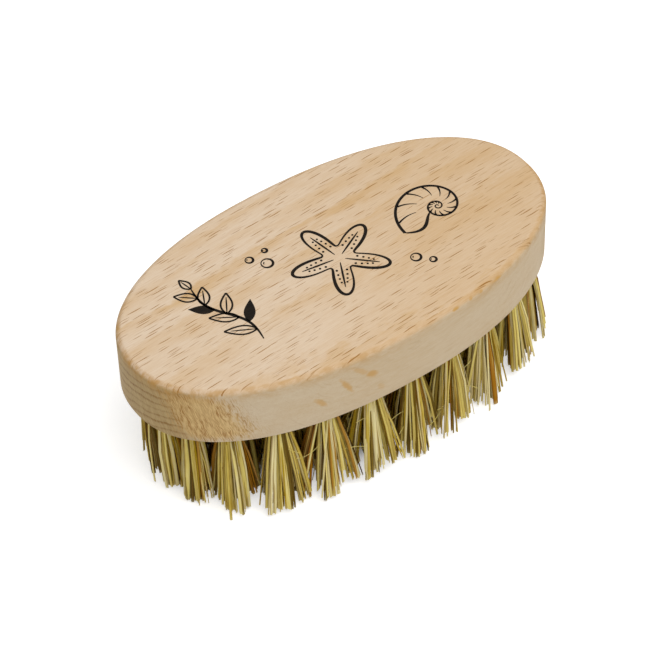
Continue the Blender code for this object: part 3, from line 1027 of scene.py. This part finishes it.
# %% Helpers for pen strokes
INK_HEIGHT = 0.04 * MM
INK_DEPTH = 0.02 * MM
PEN = 0.33
short_run = np.linspace(0, 1, 20)
round_run = np.linspace(0, 1, 48)
long_run = np.linspace(0, 1, 220)


def stroke(x, y, half_width):
    """Rings of four points along a flat curve, in mm: right and left of it, low and high."""
    middle = np.column_stack(np.broadcast_arrays(x, y)).astype(float)
    direction = np.gradient(middle, axis=0)
    direction /= np.maximum(np.linalg.norm(direction, axis=1, keepdims=True), 1e-9)
    left = np.column_stack((-direction[:, 1], direction[:, 0])) * np.maximum(half_width, 0.015).reshape(-1, 1)
    edges = np.stack((middle - left, middle + left, middle + left, middle - left), axis=1)
    height = np.broadcast_to((0.0, 0.0, 1.0, 1.0), edges.shape[:2])
    return np.concatenate((edges, height[..., None]), axis=-1)


def tapered(run, weight=1.0):
    """Half widths of a pen stroke: thin, full in the middle, thin."""
    return PEN * weight * (0.30 + 0.70 * np.sin(math.pi * run) ** 0.7)


def dot(x, y, radius):
    """A disc: at each place along its width, the half width of a circle."""
    along = -np.cos(math.pi * short_run)
    return stroke(x + radius * along, np.full(len(short_run), y), radius * np.sin(math.pi * short_run))


def bubble(x, y, radius):
    """A circle, heavier on its lower right, with a short gleam inside its upper left."""
    turn = 2 * math.pi * round_run
    weight = PEN * (0.72 + 0.30 * np.cos(turn + math.pi / 4))
    gleam = math.radians(110) + math.radians(60) * short_run
    return [stroke(x + radius * np.cos(turn), y + radius * np.sin(turn), weight),
            stroke(x + 0.55 * radius * np.cos(gleam), y + 0.55 * radius * np.sin(gleam), tapered(short_run, 0.5))]


def set_down(strokes, x, y, turn_degrees):
    """Turn a motif and put its middle at x and y on the block's top, in millimetres."""
    turn = math.radians(turn_degrees)
    placed = []
    for rings in strokes:
        place = np.empty_like(rings)
        place[..., 0] = x + rings[..., 0] * math.cos(turn) - rings[..., 1] * math.sin(turn)
        place[..., 1] = y + rings[..., 0] * math.sin(turn) + rings[..., 1] * math.cos(turn)
        place[..., :2] *= MM
        place[..., 2] = top - INK_DEPTH + rings[..., 2] * (INK_DEPTH + INK_HEIGHT)
        placed.append(place)
    return placed


def join_tubes(tubes):
    """Points and faces of tubes with different numbers of rings, as one mesh."""
    points, faces, start = [], [], 0
    for rings in tubes:
        wall, caps = tube_faces(*rings.shape[:2])
        faces += (wall + start).tolist() + (caps + start).tolist()
        points.append(rings.reshape(-1, 3))
        start += rings.shape[0] * rings.shape[1]
    return np.concatenate(points), faces


print("the pen's fullest width in mm is", 2 * PEN)

# %% The starfish
ARM_DOTS = ((0.34, 0.10), (0.46, 0.09), (0.57, 0.075), (0.67, 0.055))


def starfish(radius):
    """Five arms: the radius swings between a waist and the tips as the angle goes round."""
    turn = 2 * math.pi * long_run + math.pi / 2
    swing = np.cos(2.5 * (turn - math.pi / 2)) ** 2
    out = radius * (0.33 + 0.67 * swing ** 1.3)
    weight = PEN * (1.0 + 0.35 * np.sin(5 * turn + 0.8))
    strokes = [stroke(out * np.cos(turn), out * np.sin(turn), weight)]
    for arm in range(5):
        angle = math.pi / 2 + arm * 2 * math.pi / 5
        along = np.array((math.cos(angle), math.sin(angle)))
        across = np.array((-math.sin(angle), math.cos(angle)))
        run = radius * (0.12 + 0.68 * short_run)
        strokes.append(stroke(run * along[0], run * along[1], tapered(short_run, 0.8)))
        for step, away in ARM_DOTS:
            for side in (-1, 1):
                spot = radius * (step * along + side * away * across)
                strokes.append(dot(spot[0], spot[1], 0.36 - 0.12 * step))
    return strokes


print("starfish strokes:", len(starfish(1.0)))

# %% The seaweed
def leaf(root_x, root_y, angle, length, width, filled):
    """A leaf: its half width is the sine of the way along, a little fuller near the root."""
    along = np.array((math.cos(angle), math.sin(angle)))
    across = np.array((-math.sin(angle), math.cos(angle)))
    root = np.array((root_x, root_y))
    if filled:
        line = root + (length * short_run)[:, None] * along
        return [stroke(line[:, 0], line[:, 1], width * np.sin(math.pi * short_run ** 0.8))]
    there_and_back = 1 - np.abs(2 * round_run - 1)
    side = np.sign(round_run - 0.5) * width * np.sin(math.pi * there_and_back ** 0.8)
    line = root + (length * there_and_back)[:, None] * along + side[:, None] * across
    rib = root + (length * 0.8 * short_run)[:, None] * along
    return [stroke(line[:, 0], line[:, 1], np.full(len(round_run), PEN * 0.75)),
            stroke(rib[:, 0], rib[:, 1], tapered(short_run, 0.6))]


def seaweed(height):
    """A stem that sways once, with leaves on alternate sides that shorten upwards."""
    sway = height * 0.065
    strokes = [stroke(sway * np.sin(2 * math.pi * long_run), height * (long_run - 0.5), tapered(long_run, 1.3))]
    for number, share in enumerate(np.linspace(0.14, 0.86, 7)):
        side = 1 if number % 2 else -1
        angle = math.pi / 2 - side * math.radians(52 - 18 * share)
        root_x, root_y = sway * math.sin(2 * math.pi * share), height * (share - 0.5)
        length = height * (0.34 - 0.12 * share)
        strokes += leaf(root_x, root_y, angle, length, height * 0.058, number % 3 == 1)
    return strokes + leaf(0.0, height * 0.5, math.pi / 2, height * 0.17, height * 0.045, False)


print("seaweed strokes:", len(seaweed(1.0)))

# %% The sea snail
SHELL_GROWTH = 0.235
SHELL_TURN = 2.6 * 2 * math.pi
SHELL_RIBS = 17


def sea_snail(radius):
    """A spiral whose radius grows by the same share each turn, with ribs across its whorls."""
    whorl = math.exp(-SHELL_GROWTH * 2 * math.pi)
    turn = SHELL_TURN * long_run ** 0.62
    out = radius * np.exp(SHELL_GROWTH * (turn - SHELL_TURN))
    strokes = [stroke(out * np.cos(turn), out * np.sin(turn), PEN * (0.45 + 0.75 * long_run))]
    for angle in np.linspace(SHELL_TURN - 2 * math.pi * 1.42, SHELL_TURN - 0.3, SHELL_RIBS):
        outer = radius * math.exp(SHELL_GROWTH * (angle - SHELL_TURN))
        run = outer * (0.97 + (whorl * 1.12 - 0.97) * 0.66 * short_run)
        bend = angle - 0.16 * np.sin(math.pi * 0.5 * short_run)
        strokes.append(stroke(run * np.cos(bend), run * np.sin(bend), PEN * (0.85 - 0.65 * short_run)))
    lip = radius * (1 + (whorl - 1) * short_run)
    flare = SHELL_TURN + 0.30 * np.sin(math.pi * short_run)
    strokes.append(stroke(lip * np.cos(flare), lip * np.sin(flare), tapered(short_run, 1.4)))
    return strokes


print("sea snail strokes:", len(sea_snail(1.0)))

# %% Set the motifs down
bubbles = (bubble(-14.5, 8.5, 1.5) + bubble(-17.5, 12.0, 1.0) + bubble(-12.6, 12.6, 0.7)
           + bubble(16.5, -11.5, 1.3) + bubble(19.5, -14.6, 0.85))
ink_tubes = (set_down(seaweed(25.0), -32.0, 0.0, 12) + set_down(starfish(12.8), 1.0, -0.5, 10)
             + set_down(sea_snail(12.6), 31.5, 0.0, -22) + set_down(bubbles, 0.0, 0.0, 0))
ink_at, ink_faces = join_tubes(ink_tubes)
print("pen strokes:", len(ink_tubes))

# %% Ink the strokes
INK_BLACK = paint(14, 13, 12)
INK_WORN = paint(74, 60, 44)


def finish_ink(tree, shader):
    """Near-black, a little browner and duller where the wood's pores took the ink badly."""
    place = add_node(tree, "Mapping", {"Vector": add_node(tree, "TexCoord").outputs["Object"],
                                       "Scale": (1 / MM, 1 / MM, 1 / MM)}).outputs[0]
    worn = grain(tree, place, 2.2, 0.13, 0.2)
    patches = grain(tree, place, 4.0, 3.0, 0.4)
    share = calculate(tree, "MULTIPLY", worn, calculate(tree, "MULTIPLY", patches, 0.5))
    tree.links.new(tint(tree, share, INK_BLACK, INK_WORN), shader.inputs["Base Color"])
    tree.links.new(soft_mask(tree, worn, 0.0, 1.0, 0.6, 0.8), shader.inputs["Roughness"])


ink, ink_tree, ink_shader = new_material("black_ink", 0.7, 0.08)
finish_ink(ink_tree, ink_shader)
drawing = make_piece("ink_drawing", ink_at, ink_faces, ink)
print("ink faces:", len(drawing.data.polygons))

# %% [markdown]
# ## The floor and the light
#
# A plain white floor sits under the bristle tips. To the camera it is mostly its own
# white, so that it stays bright without more light on the brush, and enough of the real
# shading is left in it to keep the soft shadow. The sky is white to the camera and a
# plain grey to the object.

# %% Make floor, sky and lamps
FLOOR_HALF_SIZE = 3.0
FLOOR_SHINE = 0.56
SKY_LIGHT = 0.40


def make_floor():
    """A large square at z = 0 that adds its own white where a camera or mirror sees it.

    Under the block, where no light comes in, it adds none: the white grows from none to
    full between 0.58 and 0.86 times the distance from the middle to the block's outline.
    Far away, where the lamp doesn't reach, it grows on to the sky's white.
    """
    mesh = bpy.data.meshes.new("floor")
    reach = FLOOR_HALF_SIZE
    corners = [(-reach, -reach, 0), (reach, -reach, 0), (reach, reach, 0), (-reach, reach, 0)]
    mesh.from_pydata(corners, [], [(0, 1, 2, 3)])
    floor = bpy.data.objects.new("floor", mesh)
    bpy.context.scene.collection.objects.link(floor)
    material, tree, shader = new_material("floor_white", 0.9, 0.0)
    shader.inputs["Base Color"].default_value = paint(240, 240, 240)
    rays_seen = add_node(tree, "LightPath").outputs
    seen = calculate(tree, "MAXIMUM", rays_seen["Is Camera Ray"],
                     calculate(tree, "MAXIMUM", rays_seen["Is Glossy Ray"], rays_seen["Is Transmission Ray"]))
    size = (1 / float(half_length), 1 / float(half_width), 0)
    share_out = add_node(tree, "VectorMath", {0: add_node(tree, "TexCoord").outputs["Object"], 1: size},
                         operation="MULTIPLY").outputs[0]
    distance = add_node(tree, "VectorMath", {0: share_out}, operation="LENGTH").outputs["Value"]
    own_white = calculate(tree, "ADD", soft_mask(tree, distance, 0.58, 0.86, 0.0, FLOOR_SHINE),
                          soft_mask(tree, distance, 3.0, 12.0, 0.0, 1.0 - FLOOR_SHINE))
    shader.inputs["Emission Color"].default_value = (1, 1, 1, 1)
    tree.links.new(calculate(tree, "MULTIPLY", seen, own_white), shader.inputs["Emission Strength"])
    mesh.materials.append(material)


def make_sky():
    """White to camera, mirror and glass; plain grey light to everything else."""
    world = bpy.data.worlds.new("sky")
    world.use_nodes = True
    tree = world.node_tree
    rays_seen = add_node(tree, "LightPath").outputs
    seen = calculate(tree, "MAXIMUM", rays_seen["Is Camera Ray"],
                     calculate(tree, "MAXIMUM", rays_seen["Is Glossy Ray"], rays_seen["Is Transmission Ray"]))
    strength = soft_mask(tree, seen, 0.0, 1.0, SKY_LIGHT, 1.0)
    tree.links.new(strength, tree.nodes["Background"].inputs["Strength"])
    tree.nodes["Background"].inputs["Color"].default_value = (1, 1, 1, 1)
    bpy.context.scene.world = world


def make_lamp(name, place, size, power):
    """A square area lamp that faces the middle of the brush."""
    data = bpy.data.lights.new(name, "AREA")
    data.shape = "SQUARE"
    data.size = size
    data.energy = power
    lamp = bpy.data.objects.new(name, data)
    lamp.location = place
    lamp.rotation_euler = (Vector(place) - Vector((0, 0, 0.03))).to_track_quat("Z", "Y").to_euler()
    bpy.context.scene.collection.objects.link(lamp)


make_floor()
make_sky()
make_lamp("overhead", (0.03, -0.33, 0.86), 0.7, 5.0)
bpy.context.scene.view_settings.view_transform = "Standard"
print("stage ready")
